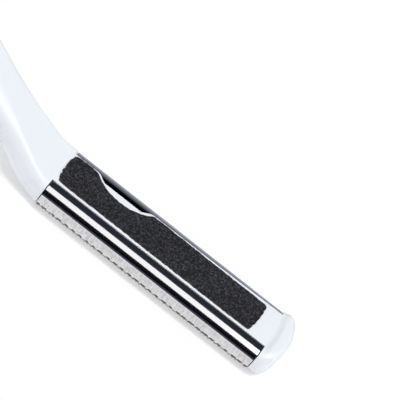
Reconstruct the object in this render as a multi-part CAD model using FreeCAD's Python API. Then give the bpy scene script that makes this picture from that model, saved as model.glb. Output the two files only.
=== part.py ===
"""Foot file: a cranked plastic handle with a clip-on steel rasp shell and a stuck-on abrasive sheet.

Frame: +X runs from the grip to the tip, +Z is the abrasive side, and the teeth of the rasp point down.
The origin lies on the plane of the tooth tips, under the middle of the overall length and width.
"""
import FreeCAD, Part
import math
import os

from FreeCAD import Vector

# Rasp shell: a pressed steel sheet, open at the back
shell_length = 100.0
face_width = 23.2
chamfer_run = 3.8
chamfer_depth = 3.8
wall_height = 3.7
lip_radius = 4.85
lip_flat = 0.65
sheet = 0.5
bend_radius = 0.7

# Rasp teeth: staggered rows of raised, blunt cones
tooth_height = 0.6
tooth_base_diameter = 1.4
tooth_tip_diameter = 0.5
tooth_pitch = 3.0
row_pitch = 1.65
tooth_margin = 2.2

# Back plate and the ribbed core under it
plate_half_width = 10.05
plate_thickness = 0.7
lip_clearance = 1.0
core_clearance = 0.35
rail_thickness = 1.8
rib_thickness = 1.6
rib_spacing = 18.0
bead_radius = 0.9
bead_stand_out = 0.65
bead_length = 14.0

# Finger notch: a round bite out of the plate's +Y edge, placed from the grip end of the shell
notch_centre = 24.2
notch_radius = 17.3
notch_depth = 6.2
notch_corner = 4.0
shelf_drop = 0.6
shelf_thickness = 1.5

# End flange beyond the tip of the shell
end_gap = 0.4
flange_length = 8.6
flange_bow = 4.2
flange_rise = 1.1
flange_lift = 1.0
flange_round = 3.2
recess_run = 1.6
cove_radius = 1.0

# Handle, swept along an arc and a straight line
crank_angle = 29.4
crank_radius = 25.0
handle_path_length = 121.0
grip_half_width = 9.3
grip_half_thickness = 5.8
grip_round = 4.6
taper_length = 63.0
taper_power = 1.5
neck_blend = 27.0
neck_sink = 0.2
grip_end_length = 9.0
section_count = 9
section_crowding = 1.4
dome_count = 4
neck_bulge = 0.1

# Shallow pockets in the shoulder, either side of a middle tab
pocket_width = 8.0
pocket_depth = 1.2
pocket_height = 3.0
tab_width = 2.2

# Abrasive sheet: adhesive film, paper backing and grit coat
pad_half_width = 8.75
pad_notch_margin = 0.6
pad_start = 0.2
pad_tip_margin = 7.0
pad_corner = 2.0
film_thickness = 0.08
backing_thickness = 0.14
grit_thickness = 0.22

# How near an edge lies to a place to count as being there
same_place = 0.05

# Places that follow from the sizes above
face_z = tooth_height
shell_half_width = face_width / 2 + chamfer_run
wall_foot_z = face_z + chamfer_depth
wall_top_z = wall_foot_z + wall_height
lip_z = wall_top_z + lip_radius
lip_root_y = shell_half_width - lip_radius
lip_edge_y = lip_root_y - lip_flat
plate_top_z = lip_z + plate_thickness
shoulder_x = -end_gap
flange_x = shell_length + end_gap
core_foot_z = face_z + sheet + core_clearance
rail_outer_y = lip_edge_y - lip_clearance
rail_inner_y = rail_outer_y - rail_thickness
neck_foot_z = face_z + neck_sink
neck_half_thickness = (plate_top_z - neck_foot_z) / 2
path_z = (plate_top_z + neck_foot_z) / 2
notch_axis_y = plate_half_width - notch_depth + notch_radius
shelf_z = lip_z - shelf_drop


def notch_half_length(half_width, radius):
    """Half of the notch's length along an edge at the given half width, with its rounded corners."""
    return math.sqrt((radius + notch_corner) ** 2 - (notch_axis_y - half_width + notch_corner) ** 2)


def prism(points, sweep):
    """Solid swept straight from a closed polygon of points."""
    return Part.Face(Part.makePolygon(points + points[:1])).extrude(sweep)


def block(x, y, z):
    """Box between the given pairs of low and high limits along X, Y and Z."""
    size = [high - low for low, high in (x, y, z)]
    return Part.makeBox(*size, Vector(x[0], y[0], z[0]))


def line(start, end):
    """Straight edge between two points."""
    return Part.LineSegment(start, end).toShape()


def arc(start, middle, end):
    """Round edge through three points."""
    return Part.Arc(start, middle, end).toShape()


def shell_prism():
    """The rasp shell without teeth: a flat face, chamfers, walls and lips rolled in over the back."""
    slope = math.atan2(chamfer_depth, chamfer_run)
    face_inset = sheet * math.tan(slope / 2)
    wall_inset = sheet * math.tan((math.pi / 2 - slope) / 2)
    round_share = math.sin(math.pi / 4)

    def half(sign, offset, face_shift, wall_shift):
        """Points from the face corner to the lip edge, on one side and one skin of the sheet."""
        radius = lip_radius - offset
        corner_y = face_width / 2 - face_shift
        wall_y = shell_half_width - offset
        middle_y = lip_root_y + radius * round_share
        middle_z = wall_top_z + radius * round_share
        places = [(corner_y, face_z + offset), (wall_y, wall_foot_z + wall_shift), (wall_y, wall_top_z),
                  (middle_y, middle_z), (lip_root_y, lip_z - offset), (lip_edge_y, lip_z - offset)]
        return [Vector(0, sign * y, z) for y, z in places]

    def side(points):
        """Edges of one side and one skin, from the face corner to the lip edge."""
        corner, foot, top, middle, root, edge = points
        return [line(corner, foot), line(foot, top), arc(top, middle, root), line(root, edge)]

    outer = [half(sign, 0, 0, 0) for sign in (1, -1)]
    inner = [half(sign, sheet, face_inset, wall_inset) for sign in (1, -1)]
    edges = [line(skin[0][0], skin[1][0]) for skin in (outer, inner)]
    for outer_side, inner_side in zip(outer, inner):
        edges += side(outer_side) + side(inner_side)
        edges.append(line(outer_side[-1], inner_side[-1]))
    section = Part.Wire(Part.__sortEdges__(edges))
    solid = Part.Face(section).extrude(Vector(shell_length, 0, 0))

    def runs_at(edge, places):
        """Whether an edge runs the length of the shell at one of the given (y, z) places."""
        middle = edge.CenterOfMass
        close = [math.hypot(abs(middle.y) - y, middle.z - z) < same_place for y, z in places]
        return any(close) and edge.BoundBox.XLength > shell_length / 2

    outer_bends = [(point.y, point.z) for point in outer[0][:2]]
    inner_bends = [(point.y, point.z) for point in inner[0][:2]]
    solid = solid.makeFillet(bend_radius, [e for e in solid.Edges if runs_at(e, outer_bends)])
    return solid.makeFillet(bend_radius / 2, [e for e in solid.Edges if runs_at(e, inner_bends)])


def tooth_places():
    """Centres of the teeth: rows across the face, every second row moved by half a pitch."""
    slope = math.atan2(chamfer_depth, chamfer_run)
    flat_half_width = face_width / 2 - bend_radius * math.tan(slope / 2) - tooth_base_diameter / 2
    row_count = int((shell_length - 2 * tooth_margin) / row_pitch) + 1
    first_x = (shell_length - (row_count - 1) * row_pitch) / 2
    long_count = int((2 * flat_half_width) / tooth_pitch + 1)
    places = []
    for row in range(row_count):
        count = long_count - row % 2
        for column in range(count):
            y = (column - (count - 1) / 2) * tooth_pitch
            places.append(Vector(first_x + row * row_pitch, y, face_z))
    return places


def rasp_shell():
    """The shell with its teeth: the flat face is replaced by one with a cone on every hole."""
    body = shell_prism()
    flat = min(body.Faces, key=lambda face: face.CenterOfMass.z)
    skins = [face for face in body.Faces if not face.isSame(flat)]
    rims = []
    for place in tooth_places():
        cone = Part.makeCone(tooth_base_diameter / 2, tooth_tip_diameter / 2, tooth_height, place,
                             Vector(0, 0, -1))
        base = max(cone.Faces, key=lambda face: face.CenterOfMass.z)
        rims.append(base.OuterWire)
        skins += [face for face in cone.Faces if not face.isSame(base)]
    skins.append(Part.Face([flat.OuterWire] + rims))
    shell = Part.Shell(skins)
    shell.sewShape()
    return Part.Solid(shell)


def strip_face(x, half_width, z, radius, corner):
    """Flat strip between two X limits, with the finger notch in its +Y edge and rounded corners."""
    start, end = x
    reach = notch_half_length(half_width, radius)
    axis = Vector(notch_centre, notch_axis_y, z)
    corner_share = corner * (1 - math.sin(math.pi / 4))

    def spot(px, py):
        """Point of the strip's plane."""
        return Vector(px, py, z)

    def notch_end(side):
        """Tangent points and edge of the rounded corner at one end of the notch."""
        centre = spot(notch_centre + side * reach, half_width - notch_corner)
        inwards = (axis - centre).normalize()
        halfway = (inwards + Vector(0, 1, 0)).normalize()
        outer, inner = centre + Vector(0, notch_corner, 0), centre + inwards * notch_corner
        return outer, inner, arc(outer, centre + halfway * notch_corner, inner)

    first_outer, first_inner, first_round = notch_end(-1)
    last_outer, last_inner, last_round = notch_end(1)
    bite = arc(first_inner, axis - Vector(0, radius, 0), last_inner)
    near, far = -half_width, half_width
    edges = [line(spot(start + corner, near), spot(end - corner, near)),
             line(spot(end, near + corner), spot(end, far - corner)),
             line(spot(end - corner, far), last_outer), last_round, bite, first_round,
             line(first_outer, spot(start + corner, far)),
             line(spot(start, far - corner), spot(start, near + corner))]
    for along, across in ((-1, -1), (1, -1), (1, 1), (-1, 1)) if corner else ():
        corner_x, corner_y = (end if along > 0 else start), across * half_width
        edges.append(arc(spot(corner_x - along * corner, corner_y),
                         spot(corner_x - along * corner_share, corner_y - across * corner_share),
                         spot(corner_x, corner_y - across * corner)))
    return Part.Face(Part.Wire(Part.__sortEdges__(edges)))


def plate():
    """Back plate that lies on the lips of the shell, between the shoulder and the flange."""
    face = strip_face((shoulder_x, flange_x), plate_half_width, lip_z, notch_radius, 0)
    return face.extrude(Vector(0, 0, plate_thickness))


def shelf_limits():
    """X limits of the shelf under the finger notch."""
    reach = notch_half_length(plate_half_width, notch_radius) + rib_thickness
    return notch_centre - reach, notch_centre + reach


def shelf():
    """Floor of the finger notch: a shelf between the rails, with the notch's wall standing on it."""
    limits = shelf_limits()
    floor = block(limits, (-rail_inner_y, rail_inner_y), (shelf_z - shelf_thickness, shelf_z))
    face = strip_face(limits, plate_half_width, shelf_z, notch_radius, 0)
    between_rails = block(limits, (-rail_outer_y, rail_outer_y), (shelf_z, lip_z))
    return [floor, face.extrude(Vector(0, 0, shelf_drop)).common(between_rails)]


def rails():
    """Two rails under the plate; the one on the notch's side is lower along the shelf."""
    start, end = shelf_limits()
    runs = [((shoulder_x, start), lip_z), ((start, end), shelf_z), ((end, flange_x), lip_z)]
    notch_side = [block(x, (rail_inner_y, rail_outer_y), (core_foot_z, top)) for x, top in runs]
    other_side = block((shoulder_x, flange_x), (-rail_outer_y, -rail_inner_y), (core_foot_z, lip_z))
    return notch_side + [other_side]


def ribs():
    """Ribs across the core, from rail to rail."""
    start, end = shelf_limits()
    count = int((flange_x - shoulder_x) / rib_spacing)
    pieces = []
    for rib in range(1, count + 1):
        x = shoulder_x + rib * rib_spacing
        top = shelf_z if start - rib_thickness < x < end else lip_z
        pieces.append(block((x, x + rib_thickness), (-rail_inner_y, rail_inner_y), (core_foot_z, top)))
    return pieces


def snap_beads():
    """Long beads on the outside of the rails, under the lips, that hold the shell."""
    bead_z = lip_z - sheet - core_clearance - bead_radius
    bead_y = rail_outer_y + bead_stand_out - bead_radius
    first_x = shelf_limits()[1] + rib_spacing / 2
    last_x = flange_x - rib_spacing / 2 - bead_length
    return [Part.makeCylinder(bead_radius, bead_length, Vector(x, side * bead_y, bead_z), Vector(1, 0, 0))
            for side in (-1, 1) for x in (first_x, last_x)]


def flange():
    """Rounded end flange, bowed outwards in plan, with a recess that carries the plate into its rim."""
    top, foot = plate_top_z + flange_rise, tooth_height + flange_lift
    half, run, fall = shell_half_width, chamfer_run, chamfer_depth
    round_y, round_z = half - lip_radius, top - lip_radius
    share = lip_radius * math.sin(math.pi / 4)

    def spot(y, z):
        """Point on the flange's inner face."""
        return Vector(flange_x, y, z)

    edges = [line(spot(run - half, foot), spot(half - run, foot)),
             line(spot(-round_y, top), spot(round_y, top))]
    for side in (-1, 1):
        edges += [line(spot(side * (half - run), foot), spot(side * half, foot + fall)),
                  line(spot(side * half, foot + fall), spot(side * half, round_z)),
                  arc(spot(side * half, round_z), spot(side * (round_y + share), round_z + share),
                      spot(side * round_y, top))]
    body = Part.Face(Part.Wire(Part.__sortEdges__(edges))).extrude(Vector(flange_length, 0, 0))
    bow_radius = (half ** 2 + flange_bow ** 2) / (2 * flange_bow)
    tip_x = flange_x + flange_length
    bow = Part.makeCylinder(bow_radius, 2 * top, Vector(tip_x - bow_radius, 0, -top / 2))
    body = body.common(bow)
    end_edges = [e for e in body.Edges if e.BoundBox.XMin > flange_x + flange_round / 2]
    body = body.makeFillet(flange_round, end_edges)
    recess_y, recess_x = min(plate_half_width, round_y), flange_x + recess_run
    body = body.cut(block((flange_x, recess_x), (-recess_y, recess_y), (plate_top_z, 2 * top)))
    cove_x, cove_z = recess_x - cove_radius, plate_top_z + cove_radius
    cove = prism([Vector(recess_x, -recess_y, plate_top_z), Vector(recess_x, -recess_y, cove_z),
                  Vector(cove_x, -recess_y, plate_top_z)], Vector(0, 2 * recess_y, 0))
    hollow = Part.makeCylinder(cove_radius, 2 * recess_y, Vector(cove_x, -recess_y, cove_z), Vector(0, 1, 0))
    return [body, cove.cut(hollow)]


def path_frame(distance):
    """Point of the handle's middle line and its upward normal, at a distance from the shoulder."""
    turn = math.radians(crank_angle)
    angle = min(distance / crank_radius, turn)
    straight = max(distance - crank_radius * turn, 0)
    x = shoulder_x - crank_radius * math.sin(angle) - straight * math.cos(angle)
    z = path_z + crank_radius * (1 - math.cos(angle)) + straight * math.sin(angle)
    return Vector(x, 0, z), Vector(math.sin(angle), 0, math.cos(angle))


def handle_section(distance, scale):
    """Closed outline of the handle: facets like the shell's at the shoulder, soft corners at the grip."""
    centre, up = path_frame(distance)
    taper = max(1 - distance / taper_length, 0) ** taper_power
    blend = min(distance / neck_blend, 1)
    soft = blend * blend * (3 - 2 * blend)
    half = (grip_half_width + (shell_half_width - grip_half_width) * taper) * scale
    thick = (grip_half_thickness + (neck_half_thickness - grip_half_thickness) * (1 - soft)) * scale
    top_round = (grip_round + (lip_radius + plate_thickness - grip_round) * (1 - soft)) * scale
    foot_run = (grip_round + (chamfer_run - grip_round) * (1 - soft)) * scale
    foot_rise = (grip_round + (chamfer_depth - grip_round) * (1 - soft)) * scale
    bulge = (math.sqrt(2) - 1) / 2 * (neck_bulge + (1 - neck_bulge) * soft)

    def spot(y, n):
        """Point of the section's plane."""
        return centre + Vector(0, y, 0) + up * n

    top_share = top_round * (1 - math.sin(math.pi / 4))
    edges = [line(spot(foot_run - half, -thick), spot(half - foot_run, -thick))]
    right = [arc(spot(half - foot_run, -thick),
                 spot(half - foot_run * (0.5 - bulge), -thick + foot_rise * (0.5 - bulge)),
                 spot(half, foot_rise - thick)),
             line(spot(half, foot_rise - thick), spot(half, thick - top_round)),
             arc(spot(half, thick - top_round), spot(half - top_share, thick - top_share),
                 spot(half - top_round, thick))]
    left = [arc(spot(top_round - half, thick), spot(top_share - half, thick - top_share),
                spot(-half, thick - top_round)),
            line(spot(-half, thick - top_round), spot(-half, foot_rise - thick)),
            arc(spot(-half, foot_rise - thick),
                spot(foot_run * (0.5 - bulge) - half, -thick + foot_rise * (0.5 - bulge)),
                spot(foot_run - half, -thick))]
    edges += right + [line(spot(half - top_round, thick), spot(top_round - half, thick))] + left
    return Part.Wire(edges)


def handle():
    """Cranked grip, lofted along its path and closed by a rounded end."""
    dome_start = handle_path_length - grip_end_length
    shares = [(step / section_count) ** section_crowding for step in range(section_count + 1)]
    sections = [handle_section(dome_start * share, 1) for share in shares]
    for step in range(1, dome_count + 1):
        angle = math.pi / 2 * step / (dome_count + 1)
        sections.append(handle_section(dome_start + math.sin(angle) * grip_end_length, math.cos(angle)))
    return Part.makeLoft(sections, True, False)


def shoulder_pockets():
    """Two shallow pockets in the shoulder's rasp side, either side of the middle tab."""
    x, z = (shoulder_x - pocket_depth, shoulder_x), (0, neck_foot_z + pocket_height)
    inner, outer = tab_width / 2, tab_width / 2 + pocket_width
    return [block(x, (inner, outer), z), block(x, (-outer, -inner), z)]


def handle_body():
    """The one-piece moulding: grip, plate, core and flange."""
    grip = handle()
    for pocket in shoulder_pockets():
        grip = grip.cut(pocket)
    core = shelf() + rails() + ribs() + snap_beads()
    return grip.multiFuse([plate()] + core + flange()).removeSplitter()


def abrasive_layer(z, thickness):
    """One layer of the abrasive sheet, which follows the plate and its notch."""
    bite = notch_radius + pad_notch_margin
    limits = (pad_start, shell_length - pad_tip_margin)
    face = strip_face(limits, pad_half_width, z, bite, pad_corner)
    return face.extrude(Vector(0, 0, thickness))


def assembly():
    """All pieces by name, with the origin moved under the middle of the whole file."""
    film_top = plate_top_z + film_thickness
    backing_top = film_top + backing_thickness
    pieces = {"handle_body": handle_body(), "rasp_shell": rasp_shell(),
              "adhesive_film": abrasive_layer(plate_top_z, film_thickness),
              "abrasive_backing": abrasive_layer(film_top, backing_thickness),
              "abrasive_grit": abrasive_layer(backing_top, grit_thickness)}
    box = Part.makeCompound(list(pieces.values())).optimalBoundingBox()
    for piece in pieces.values():
        piece.translate(Vector(-(box.XMin + box.XMax) / 2, 0, 0))
    return pieces


if __name__ == "__main__":
    os.makedirs("parts", exist_ok=True)
    for name, shape in assembly().items():
        shape.exportStep("parts/" + name + ".step")
        print(name, "valid", shape.isValid(), "solids", len(shape.Solids), "volume", round(shape.Volume, 2))
        print("   box", shape.BoundBox)
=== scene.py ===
"""Scene of the foot file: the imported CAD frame, its dressed pieces, the studio and the camera.

All sizes are in millimetres, as in the part's source, and become metres where a mesh is made.
The frame's +X runs from the grip to the tip, +Z is the abrasive side, and the floor is at the tooth tips.
"""
import logging
import math
from dataclasses import dataclass
from enum import Enum

import bmesh
import bpy
import numpy as np
from mathutils import Matrix, Vector


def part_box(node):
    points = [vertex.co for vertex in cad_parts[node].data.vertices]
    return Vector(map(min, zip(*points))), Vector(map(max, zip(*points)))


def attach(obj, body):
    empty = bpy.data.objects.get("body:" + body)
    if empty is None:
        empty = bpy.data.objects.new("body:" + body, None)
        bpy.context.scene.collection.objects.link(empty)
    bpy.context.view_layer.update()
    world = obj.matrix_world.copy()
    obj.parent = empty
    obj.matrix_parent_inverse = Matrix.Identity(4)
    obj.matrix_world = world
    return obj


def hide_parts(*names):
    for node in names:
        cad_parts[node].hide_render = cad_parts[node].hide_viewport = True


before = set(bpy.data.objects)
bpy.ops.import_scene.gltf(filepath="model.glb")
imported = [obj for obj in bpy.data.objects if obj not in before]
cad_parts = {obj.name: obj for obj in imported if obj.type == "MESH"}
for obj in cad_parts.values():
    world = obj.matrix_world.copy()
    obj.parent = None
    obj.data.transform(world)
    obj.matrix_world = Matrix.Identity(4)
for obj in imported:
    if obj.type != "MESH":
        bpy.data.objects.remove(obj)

Tree, Node, Socket = bpy.types.NodeTree, bpy.types.Node, bpy.types.NodeSocket

MM = 0.001
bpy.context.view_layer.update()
ROOT_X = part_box("rasp_shell")[0].x / MM
LOG = logging.getLogger("foot_file")
# Attribute that marks the shell's inner skin, where painted shade goes.
INSIDE = "inside"
WHITE = "#FFFFFF"
WELD, SLIVER = 1e-7, 1e-8


class Body(Enum):
    """The CAD bodies that pieces ride on."""

    RASP = "rasp"
    HANDLE = "handle"


class Slot(Enum):
    """The record's material slots."""

    PLASTIC = "white_plastic"
    STEEL = "stainless_steel"
    GLUE = "adhesive"
    PAPER = "backing_paper"
    GRIT = "black_grit"


def linear_rgb(colour: str) -> tuple[float, float, float, float]:
    """Turns an sRGB hex colour into linear RGBA.

    Args:
        colour: Six hex digits after a hash sign.

    Returns:
        Linear red, green and blue, and an alpha of 1.
    """
    shares = [int(colour[place:place + 2], 16) / 255 for place in (1, 3, 5)]
    linear = [s / 12.92 if s <= 0.04045 else ((s + 0.055) / 1.055) ** 2.4 for s in shares]
    return (*linear, 1.0)


def add_node(tree: Tree, kind: str, settings: dict | None = None, links: dict | None = None) -> Node:
    """Adds a node to a tree, sets it up and links its inputs.

    Args:
        tree: The node tree.
        kind: The node's type name, after the word that the type of every shader node starts with.
        settings: Values by property name, input name or input number.
        links: What feeds an input, by its name or number: a socket, or a node for its first output.

    Returns:
        The new node.
    """
    node = tree.nodes.new("ShaderNode" + kind)
    for key, value in (settings or {}).items():
        if isinstance(key, str) and hasattr(node, key):
            setattr(node, key, value)
        else:
            node.inputs[key].default_value = value
    for key, source in (links or {}).items():
        tree.links.new(source.outputs[0] if isinstance(source, Node) else source, node.inputs[key])
    return node


def per_metre(*sizes: float) -> list[float]:
    """Scales of a pattern whose grains have these sizes in millimetres along X, Y and Z."""
    return [1 / (size * MM) for size in sizes]


@dataclass(frozen=True)
class Finish:
    """What every finish has: its material's name, its main colour and the usual optical values."""

    name: str
    colour: str
    roughness: float
    metallic: float = 0.0
    ior: float = 1.5

    def material(self) -> bpy.types.Material:
        """Makes the material once, with its shader, and lets the finish add its detail.

        Returns:
            The material.
        """
        made = bpy.data.materials.get(self.name)
        if made:
            return made
        made = bpy.data.materials.new(self.name)
        made.use_nodes = True
        made.diffuse_color = linear_rgb(self.colour)
        tree = made.node_tree
        shader = tree.nodes["Principled BSDF"]
        values = {"Base Color": linear_rgb(self.colour), "Roughness": self.roughness,
                  "Metallic": self.metallic, "IOR": self.ior}
        for name, value in values.items():
            shader.inputs[name].default_value = value
        place = add_node(tree, "TexCoord").outputs["Object"]
        for name, socket in self.detail(tree, place).items():
            tree.links.new(socket, shader.inputs[name])
        return made

    def detail(self, tree: Tree, place: Socket) -> dict[str, Socket]:
        """Adds the finish's own pattern; the plain finish has none.

        Args:
            tree: The node tree.
            place: The coordinates in metres.

        Returns:
            Sockets by the name of the shader's input that they feed.
        """
        return {}


@dataclass(frozen=True)
class MouldedPlastic(Finish):
    """Glossy white ABS out of a polished mould: a cool white, with a faint waviness in its gloss."""

    shade_colour: str = "#F0F4FC"
    wave_mm: float = 9.0
    haze_limits: tuple[float, float] = (0.2, 0.8)
    haze_shares: tuple[float, float] = (0.9, 1.2)
    peel_mm: float = 0.8
    peel_depth_mm: float = 0.004

    def detail(self, tree: Tree, place: Socket) -> dict[str, Socket]:
        """Adds flow clouds to the colour, handling haze to the gloss and orange peel to the surface.

        Args:
            tree: The node tree.
            place: The coordinates in metres.

        Returns:
            Sockets by the name of the shader's input that they feed.
        """
        wave = self.wave_mm
        grains = [((2 * wave, wave, wave), 2.0), ((wave, wave / 2, wave / 2), 1.0),
                  ((self.peel_mm,) * 3, 1.0)]
        patterns = []
        for sizes, layers in grains:
            sized = add_node(tree, "Mapping", {"Scale": per_metre(*sizes)}, {"Vector": place})
            patterns.append(add_node(tree, "TexNoise", {"Scale": 1.0, "Detail": layers}, {"Vector": sized}))
        clouds, haze, peel = patterns
        colours = {6: linear_rgb(self.shade_colour), 7: linear_rgb(self.colour)}
        tone = add_node(tree, "Mix", {"data_type": "RGBA", **colours}, {0: clouds})
        gloss = add_node(tree, "MapRange", {"From Min": self.haze_limits[0], "From Max": self.haze_limits[1],
                                            "To Min": self.roughness * self.haze_shares[0],
                                            "To Max": self.roughness * self.haze_shares[1]}, {"Value": haze})
        bumps = add_node(tree, "Bump", {"Distance": self.peel_depth_mm * MM}, {"Height": peel})
        return {"Base Color": tone.outputs[2], "Roughness": gloss.outputs[0], "Normal": bumps.outputs[0]}


@dataclass(frozen=True)
class PressedSteel(Finish):
    """Pressed stainless steel sheet: rolled lips like a mirror, satin walls with streaks across them."""

    wall_roughness: float = 0.3
    wall_foot_mm: float = 4.2
    wall_top_mm: float = 8.1
    wall_fade_mm: float = 0.4
    streak_mm: float = 0.34
    streak_length_mm: float = 2.6
    streak_depth_mm: float = 0.003
    mark_limits: tuple[float, float] = (0.36, 0.6)
    dull_colour: str = "#C6C3C2"
    bend_mm: float = 3.65
    bend_half_mm: float = 0.75
    dash_mm: float = 1.3
    dash_pitch_mm: float = 3.3
    dash_half_share: float = 0.3
    # Colour of the painted shade in dashes along the lower bend.
    dash_shade_colour: str = "#0C0B0B"
    # Colour of the painted shade on the inner skin.
    inside_shade_colour: str = "#1E1E20"
    even_mm: float = 40.0

    def detail(self, tree: Tree, place: Socket) -> dict[str, Socket]:
        """Adds the satin walls, their cross streaks, dashes of painted shade along the lower bend and painted
        shade on the inner skin.

        The satin fades in above the wall's foot and out below its top. A dash of painted shade lies near the
        bend's height, in the middle of each step along X, where chance shifts the steps.

        Args:
            tree: The node tree.
            place: The coordinates in metres.

        Returns:
            Sockets by the name of the shader's input that they feed.
        """
        axes = add_node(tree, "SeparateXYZ", links={"Vector": place}).outputs
        edges = ((self.wall_top_mm, self.wall_fade_mm), (self.wall_foot_mm, -self.wall_fade_mm))
        fades = [add_node(tree, "MapRange", {"From Min": (edge + fade) * MM, "From Max": (edge - fade) * MM},
                          {"Value": axes["Z"]}) for edge, fade in edges]
        satin = add_node(tree, "Math", {"operation": "MULTIPLY"}, {0: fades[0], 1: fades[1]})
        sizes = per_metre(self.streak_mm, self.even_mm, self.streak_length_mm)
        across = add_node(tree, "Mapping", {"Scale": sizes}, {"Vector": place})
        streaks = add_node(tree, "TexNoise", {"Scale": 1.0, "Detail": 3.0}, {"Vector": across})
        marks = add_node(tree, "MapRange", {"From Min": self.mark_limits[0], "From Max": self.mark_limits[1],
                                            "To Min": 1.0, "To Max": 0.0}, {"Value": streaks})
        worn = add_node(tree, "Math", {"operation": "MULTIPLY"}, {0: marks, 1: satin})
        colours = {6: linear_rgb(self.colour), 7: linear_rgb(self.dull_colour)}
        wall = add_node(tree, "Mix", {"data_type": "RGBA", **colours}, {0: worn})
        # Painted shade: dark dashes along the lower bend stand in for its shadow and dark reflections.
        along = add_node(tree, "Mapping", {"Scale": per_metre(self.dash_mm, self.even_mm, self.even_mm)},
                         {"Vector": place})
        chance = add_node(tree, "TexNoise", {"Scale": 1.0, "Detail": 2.0}, {"Vector": along})
        steps = add_node(tree, "Math", {"operation": "MULTIPLY_ADD", 1: 1 / (self.dash_pitch_mm * MM)},
                         {0: axes["X"], 2: chance})
        part = add_node(tree, "Math", {"operation": "FLOORED_MODULO", 1: 1.0}, {0: steps})
        dashes = add_node(tree, "Math", {"operation": "COMPARE", 1: 0.5, 2: self.dash_half_share}, {0: part})
        bend = add_node(tree, "Math", {"operation": "COMPARE", 1: self.bend_mm * MM,
                                       2: self.bend_half_mm * MM}, {0: axes["Z"]})
        shade_dashes = add_node(tree, "Math", {"operation": "MULTIPLY"}, {0: dashes, 1: bend})
        outside = add_node(tree, "Mix", {"data_type": "RGBA", 7: linear_rgb(self.dash_shade_colour)},
                           {0: shade_dashes, 6: wall.outputs[2]})
        # Painted shade on the inner skin, marked by the attribute.
        inside = add_node(tree, "Attribute", {"attribute_name": INSIDE}).outputs["Fac"]
        whole = add_node(tree, "Mix", {"data_type": "RGBA", 7: linear_rgb(self.inside_shade_colour)},
                         {0: inside, 6: outside.outputs[2]})
        gloss = add_node(tree, "MapRange", {"To Min": self.roughness, "To Max": self.wall_roughness},
                         {"Value": satin})
        ridges = add_node(tree, "Math", {"operation": "MULTIPLY"}, {0: streaks, 1: satin})
        bumps = add_node(tree, "Bump", {"Distance": self.streak_depth_mm * MM}, {"Height": ridges})
        return {"Base Color": whole.outputs[2], "Roughness": gloss.outputs[0], "Normal": bumps.outputs[0]}


@dataclass(frozen=True)
class GritCoat(Finish):
    """Black silicon carbide grains in resin: dull black, with single facets that glint partly by their gloss
    and partly by a painted lighter colour.
    """

    # Colour of the painted glints.
    glint_colour: str = "#505058"
    glint_from: float = 0.55
    facet_from: float = 0.3
    facet_roughness: float = 0.35
    grain_mm: float = 0.44
    grain_depth_mm: float = 0.1

    def detail(self, tree: Tree, place: Socket) -> dict[str, Socket]:
        """Adds grains, drawn about twice as coarse as a real 80 grit so that they show.

        Args:
            tree: The node tree.
            place: The coordinates in metres.

        Returns:
            Sockets by the name of the shader's input that they feed.
        """
        cells = add_node(tree, "TexVoronoi", {"Scale": 1 / (self.grain_mm * MM)}, {"Vector": place})
        single = add_node(tree, "SeparateColor", links={"Color": cells.outputs["Color"]})
        # Painted highlights: single grains get the lighter glint colour.
        glints = add_node(tree, "MapRange", {"From Min": self.glint_from}, {"Value": single})
        colours = {6: linear_rgb(self.colour), 7: linear_rgb(self.glint_colour)}
        tone = add_node(tree, "Mix", {"data_type": "RGBA", **colours}, {0: glints})
        gloss = add_node(tree, "MapRange", {"From Min": self.facet_from, "To Min": self.roughness,
                                            "To Max": self.facet_roughness}, {"Value": single})
        bumps = add_node(tree, "Bump", {"Distance": self.grain_depth_mm * MM}, {"Height": cells})
        return {"Base Color": tone.outputs[2], "Roughness": gloss.outputs[0], "Normal": bumps.outputs[0]}


@dataclass(frozen=True)
class SheetPaper(Finish):
    """Uncoated latex paper that carries the grit: brownish grey at its torn edge."""

    fibre_mm: float = 0.5
    fibre_depth_mm: float = 0.02
    fibre_colour: str = "#5A4A41"

    def detail(self, tree: Tree, place: Socket) -> dict[str, Socket]:
        """Adds fibres to the colour and the surface.

        Args:
            tree: The node tree.
            place: The coordinates in metres.

        Returns:
            Sockets by the name of the shader's input that they feed.
        """
        sizes = per_metre(self.fibre_mm * 3, self.fibre_mm, self.fibre_mm)
        sized = add_node(tree, "Mapping", {"Scale": sizes}, {"Vector": place})
        fibres = add_node(tree, "TexNoise", {"Scale": 1.0, "Detail": 3.0}, {"Vector": sized})
        colours = {6: linear_rgb(self.colour), 7: linear_rgb(self.fibre_colour)}
        tone = add_node(tree, "Mix", {"data_type": "RGBA", **colours}, {0: fibres})
        bumps = add_node(tree, "Bump", {"Distance": self.fibre_depth_mm * MM}, {"Height": fibres})
        return {"Base Color": tone.outputs[2], "Normal": bumps.outputs[0]}


@dataclass(frozen=True)
class GlueFilm(Finish):
    """Dried contact glue: a clear, slightly yellow film with a wet gloss."""

    blob_mm: float = 1.5
    blob_colour: str = "#D9D3BE"

    def detail(self, tree: Tree, place: Socket) -> dict[str, Socket]:
        """Adds thin and thick patches.

        Args:
            tree: The node tree.
            place: The coordinates in metres.

        Returns:
            Sockets by the name of the shader's input that they feed.
        """
        blobs = add_node(tree, "TexNoise", {"Scale": 1 / (self.blob_mm * MM), "Detail": 2.0},
                         {"Vector": place})
        colours = {6: linear_rgb(self.colour), 7: linear_rgb(self.blob_colour)}
        return {"Base Color": add_node(tree, "Mix", {"data_type": "RGBA", **colours}, {0: blobs}).outputs[2]}


PLASTIC = MouldedPlastic("white_abs_polished_mould", "#F6F9FF", 0.22, ior=1.53)
STEEL = PressedSteel("stainless_steel_pressed_sheet", "#E4E3E6", 0.11, metallic=1.0)
GRIT = GritCoat("silicon_carbide_grit", "#08080A", 0.75, ior=1.6)
PAPER = SheetPaper("latex_paper_backing", "#3B3330", 0.9)
GLUE = GlueFilm("contact_glue_film", "#E6E1D0", 0.3, ior=1.48)


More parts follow.
